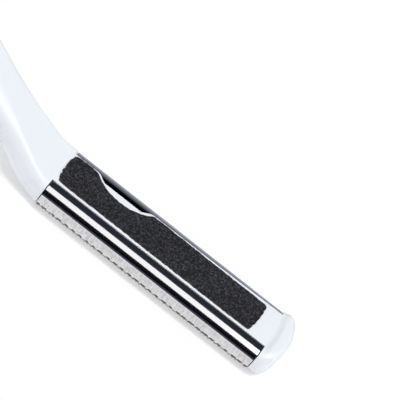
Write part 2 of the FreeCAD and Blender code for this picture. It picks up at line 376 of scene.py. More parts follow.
@dataclass
class Surface:
    """A mesh on its way: points in millimetres from the shell's grip end, and rows of point numbers."""

    points: np.ndarray
    faces: list[np.ndarray]

    @staticmethod
    def joined(*parts: "Surface") -> "Surface":
        """Puts several surfaces into one.

        Args:
            parts: The surfaces.

        Returns:
            One surface with all points and faces.
        """
        starts = np.cumsum([0] + [len(part.points) for part in parts])
        faces = [block + start for part, start in zip(parts, starts) for block in part.faces]
        return Surface(np.concatenate([part.points for part in parts]), faces)

    def piece(self, name: str, body: Body, slot: Slot, finish: Finish,
              sharp: float = 35.0) -> bpy.types.Object:
        """Makes the object: welds the points, turns the faces outwards, shades it and gives it to its body.

        Args:
            name: The piece's name.
            body: The CAD body that it rides on.
            slot: The record's material slot; not used.
            finish: The material.
            sharp: Edges steeper than this many degrees stay sharp.

        Returns:
            The new object, at the origin.
        """
        placed = (self.points + np.array([ROOT_X, 0.0, 0.0])) * MM
        mesh = bpy.data.meshes.new(name)
        mesh.from_pydata(placed, [], [face for block in self.faces for face in block.tolist()])
        work = bmesh.new()
        work.from_mesh(mesh)
        bmesh.ops.remove_doubles(work, verts=work.verts, dist=WELD)
        bmesh.ops.dissolve_degenerate(work, dist=SLIVER, edges=work.edges)
        bmesh.ops.recalc_face_normals(work, faces=work.faces)
        work.to_mesh(mesh)
        work.free()
        mesh.shade_smooth()
        mesh.set_sharp_from_angle(angle=math.radians(sharp))
        mesh.materials.append(finish.material())
        made = bpy.data.objects.new(name, mesh)
        bpy.context.scene.collection.objects.link(made)
        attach(made, body.value)
        LOG.info("%s: %d faces on %s", name, len(mesh.polygons), body.value)
        return made


def grid_quads(rows: int, columns: int, closed: bool = False) -> np.ndarray:
    """Numbers the quads of a grid whose points run row by row.

    Args:
        rows: How many rows of points.
        columns: How many points in a row.
        closed: Whether each row's last point joins its first.

    Returns:
        Rows of four point numbers.
    """
    row, column = np.meshgrid(np.arange(rows - 1), np.arange(columns - (not closed)), indexing="ij")
    first, after = row * columns, (column + 1) % columns
    corners = [first + column, first + after, first + columns + after, first + columns + column]
    return np.stack(corners, -1).reshape(-1, 4)


def swept(rings: np.ndarray, start_cap: bool = True, end_cap: bool = True) -> Surface:
    """Skins closed rings of points and caps the first and last one with a flat face.

    Args:
        rings: Points as (ring, place round it, xyz).
        start_cap: Whether the first ring is closed by a face.
        end_cap: Whether the last ring is closed by a face.

    Returns:
        The surface.
    """
    count, around = rings.shape[:2]
    faces = [grid_quads(count, around, closed=True)]
    if start_cap:
        faces.append(np.arange(around)[None, ::-1])
    if end_cap:
        faces.append(np.arange(around)[None] + (count - 1) * around)
    return Surface(rings.reshape(-1, 3), faces)


def boxes(limits: list[tuple[float, float, float, float, float, float]]) -> Surface:
    """Makes blocks, each from its low and high limits along X, Y and Z.

    Args:
        limits: One row of x0, x1, y0, y1, z0, z1 for each block.

    Returns:
        The blocks as one surface.
    """
    bounds = np.array(limits).reshape(-1, 3, 2)
    corner = np.array([[0, 0, 0], [1, 0, 0], [1, 1, 0], [0, 1, 0],
                       [0, 0, 1], [1, 0, 1], [1, 1, 1], [0, 1, 1]])
    points = bounds[:, np.arange(3)[None], corner].reshape(-1, 3)
    sides = np.array([[0, 3, 2, 1], [4, 5, 6, 7], [0, 1, 5, 4], [1, 2, 6, 5], [2, 3, 7, 6], [3, 0, 4, 7]])
    starts = len(corner) * np.arange(len(bounds))[:, None, None]
    return Surface(points, [(sides + starts).reshape(-1, 4)])


def smooth_step(value: np.ndarray) -> np.ndarray:
    """Eases a value from 0 to 1 with level ends: 3v^2 - 2v^3."""
    held = np.clip(value, 0.0, 1.0)
    return held * held * (3 - 2 * held)


def ragged(count: int, coarse: int, seed: int) -> np.ndarray:
    """Random wander along a line, from -1 to 1: random heights at coarse places, joined straight.

    Args:
        count: How many values.
        coarse: How many random heights they pass through.
        seed: Start of the random draw.

    Returns:
        The values.
    """
    heights = np.random.default_rng(seed).uniform(-1.0, 1.0, coarse)
    return np.interp(np.linspace(0.0, coarse - 1.0, count), np.arange(coarse), heights)


@dataclass
class RaspShell:
    """The pressed steel shell: a toothed face, chamfers, walls and lips rolled in over the back."""

    length: float = 100.0
    face_width: float = 24.4
    chamfer_run: float = 3.2
    chamfer_depth: float = 3.4
    wall_height: float = 4.1
    lip_radius: float = 4.85
    lip_flat: float = 1.25
    sheet: float = 0.5
    bend_radius: float = 0.7
    tooth_height: float = 0.6
    tooth_pitch: float = 2.2
    row_pitch: float = 1.65
    tooth_margin: float = 2.2
    tooth_rings: tuple[tuple[float, float], ...] = ((0.72, 0.0), (0.57, 0.35), (0.47, 0.6), (0.40, 0.5))
    hole_radius: float = 0.38
    bend_points: int = 5
    roll_points: int = 33
    bend_wave: float = 0.16
    wave_chance: float = 0.7
    wave_seed: int = 4
    wave_shares: tuple[float, ...] = (0.0, 0.5, 0.9, 1.0, 1.0)

    @property
    def half_width(self) -> float:
        """Half of the shell's width over its walls."""
        return self.face_width / 2 + self.chamfer_run

    @property
    def chamfer_slope(self) -> float:
        """Angle between the face and the chamfer."""
        return math.atan2(self.chamfer_depth, self.chamfer_run)

    @property
    def flat_edge(self) -> float:
        """Y where the flat face ends and its bend begins."""
        return self.face_width / 2 - self.bend_radius * math.tan(self.chamfer_slope / 2)

    @property
    def wall_top(self) -> float:
        """Height at which the lip's roll begins."""
        return self.tooth_height + self.chamfer_depth + self.wall_height

    @property
    def lip_top(self) -> float:
        """Height of the lip's back."""
        return self.wall_top + self.lip_radius

    @property
    def most_teeth(self) -> int:
        """Number of teeth in a long row."""
        return int(2 * (self.flat_edge - self.tooth_rings[0][0]) / self.tooth_pitch + 1)

    @property
    def short_half(self) -> float:
        """Y where the teeth of a short row end."""
        return (self.most_teeth - 1) / 2 * self.tooth_pitch

    def rows(self) -> tuple[int, float]:
        """Counts the tooth rows.

        Returns:
            The number of rows and the X where the first row's cells start.
        """
        count = int((self.length - 2 * self.tooth_margin) / self.row_pitch) + 1
        return count, (self.length - count * self.row_pitch) / 2

    def side_profile(self, inset: float) -> np.ndarray:
        """Section from the flat face's edge to the lip's edge: arcs of bend, bend and roll, joined straight.

        Args:
            inset: Distance of this skin from the outer one.

        Returns:
            Points as (y, z).
        """
        bend, roll = self.bend_radius, self.lip_radius
        lean = self.chamfer_slope - math.pi / 2
        wall_foot = self.tooth_height + self.chamfer_depth - bend * math.tan(lean / 2)
        arcs = [(self.flat_edge, self.tooth_height + bend, bend, -math.pi / 2, lean, self.bend_points),
                (self.half_width - bend, wall_foot, bend, lean, 0, self.bend_points),
                (self.half_width - roll, self.wall_top, roll, 0, math.pi / 2, self.roll_points)]
        runs = []
        for y, z, radius, start, end, count in arcs:
            turn, reach = np.linspace(start, end, count), radius - inset
            runs.append(np.stack([y + reach * np.cos(turn), z + reach * np.sin(turn)], -1))
        runs.append(np.array([[self.half_width - roll - self.lip_flat, self.lip_top - inset]]))
        return np.concatenate(runs)

    def stations(self) -> np.ndarray:
        """X places of the sides' points: both ends, and the corners and middles of the tooth cells.

        Returns:
            The places, from the grip to the tip.
        """
        count, start = self.rows()
        cells = start + np.arange(2 * count + 1) * self.row_pitch / 2
        return np.concatenate([[0.0], cells, [self.length]])

    def sides(self) -> Surface:
        """Sheet of both sides: the outer skin, round the lip's edge, the inner skin, and both ends.

        Returns:
            Both sides.
        """
        outer, inner = self.side_profile(0.0), self.side_profile(self.sheet)
        loop = np.concatenate([outer, inner[::-1]])
        x = self.stations()
        across = loop + self.wave(len(x))[:, None, None] * self.wave_reach(len(outer))
        along = np.broadcast_to(x[:, None, None], (len(x), len(loop), 1))
        right = np.concatenate([along, across], -1)
        left = right * np.array([1.0, -1.0, 1.0])
        ring = np.arange(len(outer) - 1)
        last = 2 * len(outer) - 1
        cap = np.stack([ring, ring + 1, last - ring - 1, last - ring], -1)
        faces = [grid_quads(len(x), len(loop)), cap, cap + (len(x) - 1) * len(loop)]
        return Surface.joined(Surface(right.reshape(-1, 3), faces), Surface(left.reshape(-1, 3), faces))

    def wave(self, count: int) -> np.ndarray:
        """Waviness that the punch leaves in the bend: out and in by turns, with chance added.

        Args:
            count: How many stations.

        Returns:
            A shift for each station.
        """
        draw = np.random.default_rng(self.wave_seed)
        chance = draw.uniform(-self.wave_chance, self.wave_chance, count)
        return self.bend_wave * (np.where(np.arange(count) % 2, -1.0, 1.0) + chance)

    def wave_reach(self, count: int) -> np.ndarray:
        """How the waviness moves the section's points: the face's bend moves square to itself.

        Args:
            count: How many points the section of one skin has.

        Returns:
            Moves as (y, z) for both skins.
        """
        share = np.zeros(count)
        share[:len(self.wave_shares)] = self.wave_shares
        lean = self.chamfer_slope / 2 - math.pi / 2
        both = np.concatenate([share, share[::-1]])[:, None]
        return both * np.array([math.cos(lean), math.sin(lean)])

    def tooth_places(self) -> tuple[np.ndarray, np.ndarray]:
        """Places of the teeth and of the plain cells beside the shorter rows.

        Returns:
            Tooth centres as (x, y), and the X of each shorter row.
        """
        count, start = self.rows()
        row, column = np.meshgrid(np.arange(count), np.arange(self.most_teeth), indexing="ij")
        in_row = self.most_teeth - row % 2
        x = start + (row + 0.5) * self.row_pitch
        y = (column - (in_row - 1) / 2) * self.tooth_pitch
        real = column < in_row
        return np.stack([x[real], y[real]], -1), x[1::2, 0]

    def toothed_face(self) -> Surface:
        """Flat face as a wall of bricks, each with a punched, pierced tooth in its middle.

        A brick's 12 edge points and the 12 points of each ring of its tooth lie in the same order, so quads
        join the rings: brick edge, foot, flank, tip, inside, hole, and the same brick on the inner skin.

        Returns:
            The face with both skins.
        """
        centres, short_rows = self.tooth_places()
        half_y, half_x = self.tooth_pitch / 2, self.row_pitch / 2
        edge_x = half_x * np.array([0, 1, 1, 1, 1, 1, 0, -1, -1, -1, -1, -1])
        edge_y = half_y * np.array([1, 1, 0.5, 0, -0.5, -1, -1, -1, -0.5, 0, 0.5, 1])
        turn = np.radians(np.arange(0, 360, 30))
        outer_z, inner_z = self.tooth_height, self.tooth_height + self.sheet
        rings = [(edge_x, edge_y, outer_z)]
        rings += [(r * np.sin(turn), r * np.cos(turn), outer_z - rise) for r, rise in self.tooth_rings]
        rings += [(self.hole_radius * np.sin(turn), self.hole_radius * np.cos(turn), inner_z),
                  (edge_x, edge_y, inner_z)]
        offsets = np.array([np.stack([x, y, np.full_like(x, z)], -1) for x, y, z in rings])
        points = offsets[None] + np.pad(centres, ((0, 0), (0, 1)))[:, None, None]
        points[..., 1] = np.clip(points[..., 1], -self.flat_edge, self.flat_edge)
        quads = grid_quads(len(rings), len(turn), closed=True)
        numbers = np.arange(len(centres))[:, None, None] * len(rings) * len(turn)
        teeth = Surface(points.reshape(-1, 3), [(quads + numbers).reshape(-1, 4)])
        plain = [self.plain_cells(short_rows, z) for z in (outer_z, inner_z)]
        return Surface.joined(teeth, *plain, self.end_strips())

    def plain_cells(self, rows: np.ndarray, z: float) -> Surface:
        """Plain cells at both ends of the shorter rows, with their neighbours' points on their edges.

        Args:
            rows: X of each shorter row.
            z: Height of the skin.

        Returns:
            The cells of one skin.
        """
        side, edge = self.short_half, self.flat_edge
        between = side + self.tooth_pitch / 4
        y = np.array([side, between, edge, edge, edge, between, side, side])
        x = self.row_pitch / 2 * np.array([-1, -1, -1, 0, 1, 1, 1, 0])
        cell = np.stack([x, y, np.full_like(x, z)], -1)
        both = np.stack([cell, cell * np.array([1.0, -1.0, 1.0])])
        points = both[None] + np.stack([rows, 0 * rows, 0 * rows], -1)[:, None, None]
        return Surface(points.reshape(-1, 3), [np.arange(len(rows) * 2 * len(x)).reshape(-1, len(x))])

    def end_strips(self) -> Surface:
        """Plain strips between the teeth and both ends of the face, with the end faces of the sheet.

        Returns:
            The strips of both skins and the end faces.
        """
        count, start = self.rows()
        quarters = 2 * (self.most_teeth - 1)
        steps = np.arange(-quarters, quarters + 1) * self.tooth_pitch / 4
        extra = self.short_half + self.tooth_pitch / 4
        y = np.concatenate([[-self.flat_edge, -extra], steps, [extra, self.flat_edge]])
        skins = (self.tooth_height, self.tooth_height + self.sheet)
        parts = []
        for near, far in ((start, 0.0), (start + count * self.row_pitch, self.length)):
            rim = [np.stack([np.full_like(y, near), y, np.full_like(y, z)], -1) for z in skins]
            end = [np.array([[far, self.flat_edge, z], [far, -self.flat_edge, z]]) for z in skins]
            for skin_rim, skin_end in zip(rim, end):
                strip = np.concatenate([skin_rim, skin_end])
                parts.append(Surface(strip, [np.arange(len(strip))[None]]))
            parts.append(Surface(np.concatenate([end[0], end[1][::-1]]), [np.arange(4)[None]]))
        return Surface.joined(*parts)

    def build(self) -> None:
        """Makes the shell, which stands for the CAD shell."""
        whole = Surface.joined(self.sides(), self.toothed_face())
        shell = whole.piece("rasp_sheet", Body.RASP, Slot.STEEL, STEEL, sharp=40.0)
        self.mark_inside(shell.data)
        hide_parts("rasp_shell")

    def mark_inside(self, mesh: bpy.types.Mesh) -> None:
        """Marks the inner skin, which gets painted shade, in an attribute: there the normal points towards
        the shell's middle line.

        Args:
            mesh: The shell's mesh.
        """
        count = len(mesh.vertices)
        place, normal = np.empty((count, 3), np.float32), np.empty((count, 3), np.float32)
        mesh.vertices.foreach_get("co", place.ravel())
        mesh.vertex_normals.foreach_get("vector", normal.ravel())
        outwards = place[:, 1:] - np.array([0.0, self.wall_top * MM])
        inside = (np.sum(outwards * normal[:, 1:], axis=1) < 0).astype(np.float32)
        mesh.attributes.new(INSIDE, "FLOAT", "POINT").data.foreach_set("value", inside)


@dataclass
class Strip:
    """Outline of a flat strip with the finger notch in its +Y edge."""

    start: float
    end: float
    near_half: float
    far_half: float
    notch_radius: float
    notch_centre: float = 24.2
    notch_axis_y: float = 21.15
    notch_corner: float = 4.0
    flare: float = 0.0

    def far_edge(self, x: np.ndarray) -> np.ndarray:
        """Height of the +Y edge over X: a straight line, a round corner, the round bite, and back.

        Past the notch the line leans outwards, by the flare times the square of the way to the end.

        Args:
            x: Places along the strip.

        Returns:
            Y of the edge.
        """
        reach_y = self.notch_axis_y - self.far_half + self.notch_corner
        whole = self.notch_radius + self.notch_corner
        reach = math.sqrt(whole ** 2 - reach_y ** 2)
        away = np.abs(x - self.notch_centre)
        meet = reach * self.notch_radius / whole
        round_off = np.sqrt(np.maximum(self.notch_corner ** 2 - (reach - away) ** 2, 0))
        corner = self.far_half - self.notch_corner + round_off
        bite = self.notch_axis_y - np.sqrt(np.maximum(self.notch_radius ** 2 - away ** 2, 0))
        past = np.maximum(x - self.notch_centre - reach, 0) / (self.end - self.notch_centre - reach)
        straight = self.far_half + self.flare * past ** 2
        return np.select([away > reach, away > meet], [straight, corner], bite)

    def outline(self, spacing: float = 0.4) -> np.ndarray:
        """Closed outline of the strip, against the clock.

        Args:
            spacing: Distance between the points along X.

        Returns:
            Points as (x, y).
        """
        x = np.linspace(self.start, self.end, int((self.end - self.start) / spacing))
        near = np.stack([x, np.full_like(x, -self.near_half)], -1)
        far = np.stack([x, self.far_edge(x)], -1)
        return np.concatenate([near, far[::-1]])

    def slab(self, low: float, high: float) -> Surface:
        """Slab of the strip with half-round edges: the outline shrinks by r(1 - cos) while z runs r sin.

        Args:
            low: Height of the underside.
            high: Height of the top.

        Returns:
            The slab.
        """
        line = self.outline()
        along = np.roll(line, -1, 0) - np.roll(line, 1, 0)
        inward = np.stack([-along[:, 1], along[:, 0]], -1)
        inward /= np.linalg.norm(inward, axis=1, keepdims=True)
        radius = (high - low) / 2
        turn = np.radians(np.linspace(-90.0, 90.0, 11))
        shrink = radius * (1 - np.cos(turn))
        z = low + radius * (1 + np.sin(turn))
        flat = line[None] + inward[None] * shrink[:, None, None]
        rings = np.concatenate([flat, np.broadcast_to(z[:, None, None], (*flat.shape[:2], 1))], -1)
        return swept(rings)


@dataclass
class Handle:
    """The white moulding: cranked grip, back plate, ribbed core and end flange."""

    shell: RaspShell
    end_gap: float = 0.4
    plate_overlap: float = 2.8
    plate_near: float = 10.1
    plate_far: float = 9.95
    plate_flare: float = 1.0
    plate_thickness: float = 0.35
    notch_radius: float = 16.7
    shelf_drop: float = 0.6
    shelf_thickness: float = 1.5
    rail_outer: float = 8.9
    rail_inner: float = 7.1
    shelf_edge: float = 8.1
    shelf_start: float = 7.6
    shelf_end: float = 40.8
    shelf_gap: float = 0.3
    step_start: float = 6.0
    step_end: float = 42.0
    core_foot: float = 1.45
    core_overlap: float = 0.5
    core_sink: float = 0.1
    core_bevel: float = 0.2
    rail_set_in: float = 0.5
    rib_thickness: float = 1.6
    rib_spacing: float = 18.0
    rib_count: int = 5
    bead_radius: float = 0.9
    bead_stand_out: float = 0.65
    bead_length: float = 14.0
    bead_clearance: float = 0.35
    bead_places: tuple[float, ...] = (49.8, 77.4)
    crank_angle: float = 29.4
    crank_radius: float = 25.0
    path_length: float = 121.0
    grip_half_width: float = 9.9
    grip_half_thickness: float = 5.8
    grip_round: float = 4.6
    ridge_run: tuple[float, ...] = (0.0, 7.0, 16.0, 40.0)
    ridge_across: tuple[float, ...] = (4.15, 2.5, 2.5, 4.6)
    ridge_down: tuple[float, ...] = (5.3, 6.6, 7.0, 5.0)
    taper_length: float = 46.0
    taper_power: float = 1.85
    neck_blend: float = 27.0
    neck_sink: float = 0.2
    neck_bulge: float = 0.1
    pocket_width: float = 8.0
    pocket_depth: float = 1.2
    pocket_height: float = 3.0
    tab_width: float = 2.2
    grip_end_length: float = 9.0
    flange_length: float = 8.6
    flange_bow: float = 4.2
    flange_rise: float = 1.15
    flange_lift: float = 0.4
    flange_round: float = 3.2
    recess_run: float = 3.6
    recess_half_width: float = 7.8
    recess_middle: float = -0.9
    recess_soft: float = 1.25
    recess_sink: float = 0.01
    recess_powers: tuple[float, float] = (1.3, 6)
    rim_run: float = 3.0

    @property
    def plate_top(self) -> float:
        """Height of the plate's top."""
        return self.shell.lip_top + self.plate_thickness

    def path(self, distance: np.ndarray) -> tuple[np.ndarray, np.ndarray]:
        """Middle line of the handle: an arc, then a straight line.

        Args:
            distance: Distances from the shoulder.

        Returns:
            Points of the line and upward normals, as (place, xyz).
        """
        turn = math.radians(self.crank_angle)
        angle = np.minimum(distance / self.crank_radius, turn)
        straight = np.maximum(distance - self.crank_radius * turn, 0)
        foot = self.shell.tooth_height + self.neck_sink
        x = -self.end_gap - self.crank_radius * np.sin(angle) - straight * np.cos(angle)
        z = (self.plate_top + foot) / 2 + self.crank_radius * (1 - np.cos(angle)) + straight * np.sin(angle)
        zero = np.zeros_like(x)
        return np.stack([x, zero, z], -1), np.stack([np.sin(angle), zero, np.cos(angle)], -1)

    def grip(self) -> Surface:
        """Grip as sections along its path, with the two shoulder pockets in its first sections.

        A section has a flat top whose corners are quarter ellipses, and a flat base whose corners change
        from the shell's chamfer to a round, as a curve of |a|^n + |b|^n = 1 with n from 1 to 2. The end
        closes like a dome. In a pocket, the base of the first two sections is raised.

        Returns:
            The closed grip.
        """
        deep = self.pocket_depth
        body = np.concatenate([[0.0, deep], np.linspace(deep, self.path_length - self.grip_end_length, 90)])
        dome = np.radians(np.linspace(0.0, 88.0, 14))[1:]
        distance = np.concatenate([body, body[-1] + np.sin(dome) * self.grip_end_length])
        scale = np.concatenate([np.ones_like(body), np.cos(dome)])
        centre, up = self.path(distance)
        neck_half = (self.plate_top - self.shell.tooth_height - self.neck_sink) / 2
        taper = np.maximum(1 - distance / self.taper_length, 0) ** self.taper_power
        soft = smooth_step(distance / self.neck_blend)
        mixed = [(self.grip_half_width, self.shell.half_width, taper),
                 (self.grip_half_thickness, neck_half, 1 - soft),
                 (self.grip_round, self.shell.chamfer_depth, 1 - soft)]
        half, thick, foot = [((end + (start - end) * share) * scale)[:, None] for end, start, share in mixed]
        across, down = [(np.interp(distance, self.ridge_run, sizes) * scale)[:, None]
                        for sizes in (self.ridge_across, self.ridge_down)]
        middle = 0.5 + (math.sqrt(2) - 1) / 2 * (self.neck_bulge + (1 - self.neck_bulge) * soft)
        power = -2 * np.log2(middle)[:, None]
        turn = np.radians(np.linspace(0.0, 90.0, 19))[None]
        top_y, top_n = half - across * (1 - np.cos(turn)), thick - down * (1 - np.sin(turn))
        foot_y = half - foot * (1 - np.sin(turn) ** power)
        foot_n = foot * (1 - np.cos(turn) ** power) - thick
        share = np.linspace(1.0, -1.0, 9)[None, 1:-1]
        lid_y, lid_n = top_y[:, -1:] * share, np.repeat(thick, share.shape[1], 1)
        inner, outer = self.tab_width / 2, self.tab_width / 2 + self.pocket_width
        places = np.array([outer, outer, inner, inner, 0.0, inner, inner, outer, outer]) / foot_y[0, 0]
        base_y = foot_y[:, :1] * places * np.array([-1, -1, -1, -1, 0, 1, 1, 1, 1])
        raised = (np.arange(len(distance)) < 2)[:, None] * np.array([0, 1, 1, 0, 0, 0, 1, 1, 0])
        base_n = self.pocket_height * raised - thick
        y = np.concatenate([foot_y, top_y, lid_y, -top_y[:, ::-1], -foot_y[:, ::-1], base_y], 1)
        n = np.concatenate([foot_n, top_n, lid_n, top_n[:, ::-1], foot_n[:, ::-1], base_n], 1)
        rings = centre[:, None] + y[..., None] * np.array([0.0, 1.0, 0.0]) + n[..., None] * up[:, None]
        return swept(rings)

    def plate(self) -> Surface:
        """Back plate with its notch, run a little into the grip and the flange, and the step under the notch.

        Returns:
            The plate and the step.
        """
        low, reach = self.shell.lip_top, self.end_gap + self.plate_overlap
        strip = Strip(-reach, self.shell.length + reach, self.plate_near, self.plate_far, self.notch_radius,
                      flare=self.plate_flare)
        step = Strip(self.step_start, self.step_end, self.shelf_edge, self.shelf_edge, self.notch_radius)
        return Surface.joined(strip.slab(low, self.plate_top),
                              step.slab(low - self.shelf_drop, low + self.core_sink))

    def core(self) -> Surface:
        """Rails, ribs and the notch's shelf as blocks.

        Returns:
            The blocks.
        """
        start, end = -self.end_gap - self.core_overlap, self.shell.length + self.end_gap + self.core_overlap
        top, shelf = self.shell.lip_top + self.core_sink, self.shell.lip_top - self.shelf_drop
        near, far, foot, under = self.shelf_start, self.shelf_end, self.core_foot, shelf - self.shelf_gap
        rails = [(start, end, -self.rail_outer, -self.rail_inner, foot, top),
                 (start, near, self.rail_inner, self.rail_outer, foot, top),
                 (near, far, self.rail_inner - self.rail_set_in, self.shelf_edge - self.shelf_gap,
                  foot, under),
                 (far, end, self.rail_inner, self.rail_outer, foot, top)]
        floor = (near, far, -self.rail_inner, self.shelf_edge, shelf - self.shelf_thickness, shelf)
        places = np.arange(1, self.rib_count + 1) * self.rib_spacing - self.end_gap
        ribs = [(x, x + self.rib_thickness, -self.rail_inner, self.rail_inner, foot,
                 under if near < x < far else top) for x in places]
        return boxes(rails + [floor] + ribs)

    def beads(self) -> Surface:
        """Snap beads: round bars along the rails, whose domed ends run r sin while their radius is r cos.

        Returns:
            The bars.
        """
        y = self.rail_outer + self.bead_stand_out - self.bead_radius
        z = self.shell.lip_top - self.shell.sheet - self.bead_clearance - self.bead_radius
        turn = np.linspace(0, 2 * np.pi, 20, endpoint=False)
        lean = np.radians(np.array([-85, -60, -30, 0, 0, 30, 60, 85]))
        radius = (self.bead_radius * np.cos(lean))[:, None]
        middles = np.repeat([self.bead_radius, self.bead_length - self.bead_radius], len(lean) // 2)
        along = (self.bead_radius * np.sin(lean) + middles)[:, None]
        parts = [swept(np.stack(np.broadcast_arrays(x + along, side * y + radius * np.cos(turn),
                                                    z + radius * np.sin(turn)), -1))
                 for x in self.bead_places for side in (-1, 1)]
        return Surface.joined(*parts)

    def flange_outline(self) -> tuple[np.ndarray, np.ndarray]:
        """Section of the flange: round upper corners and the shell's chamfers below.

        Returns:
            Points as (y, z) against the clock, and outward normals.
        """
        top, foot = self.plate_top + self.flange_rise, self.shell.tooth_height + self.flange_lift
        half, cut, radius = self.shell.half_width, self.shell.chamfer_run, self.shell.lip_radius
        turn = np.radians(np.linspace(0.0, 90.0, 17))
        corner = np.stack([half - radius * (1 - np.cos(turn)), top - radius * (1 - np.sin(turn))], -1)
        lid_y = np.linspace(half - radius, radius - half, 41)[1:-1]
        lid = np.stack([lid_y, np.full_like(lid_y, top)], -1)
        left = corner[::-1] * np.array([-1.0, 1.0])
        base_y = np.linspace(cut - half, half - cut, 25)
        base = np.stack([base_y, np.full_like(base_y, foot)], -1)
        line = np.concatenate([corner, lid, left, [[-half, foot + cut]], base, [[half, foot + cut]]])
        before, after = line - np.roll(line, 1, 0), np.roll(line, -1, 0) - line
        before /= np.linalg.norm(before, axis=1, keepdims=True)
        after /= np.linalg.norm(after, axis=1, keepdims=True)
        mitre = np.stack([(before + after)[:, 1], -(before + after)[:, 0]], -1)
        reach = 1 + np.sum(before * after, axis=1, keepdims=True)
        return line, mitre / reach

    def flange(self) -> Surface:
        """End flange: its section runs out to a bowed end, shrinks round the end's edge and closes over it.

        The end lies at x = tip - (R - sqrt(R^2 - y^2)). The edge shrinks the section by r(1 - cos) while x
        runs r sin. A soft step lowers the top to the plate inside the rim.

        Returns:
            The closed flange.
        """
        line, normal = self.flange_outline()
        start = self.shell.length + self.end_gap
        radius = self.flange_round
        bow = (self.shell.half_width ** 2 + self.flange_bow ** 2) / (2 * self.flange_bow)
        run = np.linspace(0.0, 1.0, 19)
        turn = np.radians(np.linspace(0.0, 90.0, 15))[1:]
        close = np.linspace(1.0, 0.0, 9)[1:]
        middle = np.array([0.0, (self.plate_top + self.shell.tooth_height) / 2])
        shrink = np.concatenate([np.zeros_like(run), radius * (1 - np.cos(turn))])
        sections = line[None] - normal[None] * shrink[:, None, None]
        sections = np.concatenate([sections, middle + (sections[-1:] - middle) * close[:, None, None]])
        end = start + self.flange_length - (bow - np.sqrt(bow ** 2 - sections[..., 0] ** 2))
        x = np.concatenate([start + run[:, None] * (end[:len(run)] - radius - start),
                            end[len(run):len(shrink)] - radius * (1 - np.sin(turn))[:, None],
                            end[len(shrink):]])
        y, z = sections[..., 0], sections[..., 1]
        z = z - self.start_drop(x - start, z)
        z = z - np.maximum(z - self.plate_top + self.recess_sink, 0) * self.recess_share(x - start, y)
        return swept(np.stack([x, y, z], -1), end_cap=False)

    def start_drop(self, x: np.ndarray, z: np.ndarray) -> np.ndarray:
        """How far the flange's upper half is lowered at its start, so that its rim grows out of the plate.

        Args:
            x: Distance from the flange's start.
            z: Height of the full section.

        Returns:
            The drop: the whole rise at the start's top, and 0 at the shell's wall top or past the rim's run.
        """
        top = self.plate_top + self.flange_rise
        share = np.clip((z - self.shell.wall_top) / (top - self.shell.wall_top), 0, 1)
        return self.flange_rise * share * (1 - smooth_step(x / self.rim_run))

    def recess_share(self, x: np.ndarray, y: np.ndarray) -> np.ndarray:
        """How far the flange's top is lowered to the plate: 1 in the round-cornered recess, 0 on its rim.

        The plan's level is (x / run)^p + (|y - middle| / half width)^q, which is 1 on the rim's crest.

        Args:
            x: Distance from the flange's start.
            y: Place across it.

        Returns:
            The share, from 0 to 1.
        """
        along = np.maximum(x, 0) / self.recess_run
        across = np.abs(y - self.recess_middle) / self.recess_half_width
        level = along ** self.recess_powers[0] + across ** self.recess_powers[1]
        return smooth_step((1 - level) / self.recess_soft)

    def build(self) -> None:
        """Makes the moulding's pieces, which together stand for the CAD handle."""
        grip = self.grip().piece("handle_grip", Body.HANDLE, Slot.PLASTIC, PLASTIC)
        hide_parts("handle_body")
        self.plate().piece("back_plate", Body.HANDLE, Slot.PLASTIC, PLASTIC)
        core = self.core().piece("ribbed_core", Body.HANDLE, Slot.PLASTIC, PLASTIC)
        bevel = core.modifiers.new("moulded_edges", "BEVEL")
        bevel.width, bevel.segments = self.core_bevel * MM, 2
        self.beads().piece("snap_beads", Body.HANDLE, Slot.PLASTIC, PLASTIC)
        self.flange().piece("end_flange", Body.HANDLE, Slot.PLASTIC, PLASTIC, sharp=60.0)


